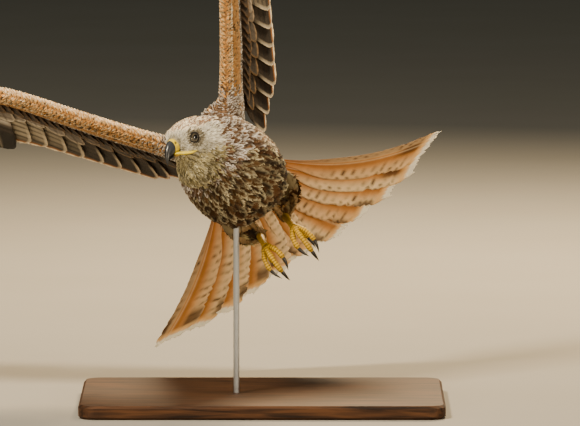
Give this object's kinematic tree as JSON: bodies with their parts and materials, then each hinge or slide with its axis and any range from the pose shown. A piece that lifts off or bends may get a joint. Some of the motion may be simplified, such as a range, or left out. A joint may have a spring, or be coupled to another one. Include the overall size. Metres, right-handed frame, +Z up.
{
  "type": "red kite model on display stand",
  "caption": "Life-size red kite banking in flight with raised wings and a spread forked tail, held by a flat display stand and a rod.",
  "frame": {"origin": "middle of the flat underside of the stand's base", "axes": "+Z up, -Y the way the bird flies, +X to the side that its left wing leans to"},
  "size_m": [0.9043, 0.4901, 0.941],
  "materials": {
    "body_feathers": "matt, streaked dark brown and buff",
    "head_feathers": "matt, whitish with rufous streaks",
    "wing_feathers": "matt to satin, barred and spotted",
    "tail_feathers": "satin, rufous with dark bars",
    "eye": "wet gloss, grey-brown iris",
    "horn": "smooth satin horn",
    "yellow_skin": "waxy, scaled",
    "base_wood": "satin lacquer",
    "rod_steel": "brushed"
  },
  "bodies": {
    "root": {"torso": "body_feathers", "thigh_left": "body_feathers", "thigh_right": "body_feathers", "neck": "head_feathers", "head": "head_feathers", "cere": "yellow_skin", "bill_upper": "horn", "bill_lower": "horn", "eye_left": "eye", "eye_right": "eye", "wing_left": "wing_feathers", "wing_left_hand": "wing_feathers", "wing_right": "wing_feathers", "wing_right_hand": "wing_feathers", "tail": "tail_feathers", "tarsus_left": "yellow_skin", "tarsus_right": "yellow_skin", "foot_left": "yellow_skin", "foot_right": "yellow_skin", "claw_left_1": "horn", "claw_left_2": "horn", "claw_left_3": "horn", "claw_left_4": "horn", "claw_right_1": "horn", "claw_right_2": "horn", "claw_right_3": "horn", "claw_right_4": "horn", "stand_base": "base_wood", "stand_rod": "rod_steel"}
  },
  "joints": []
}
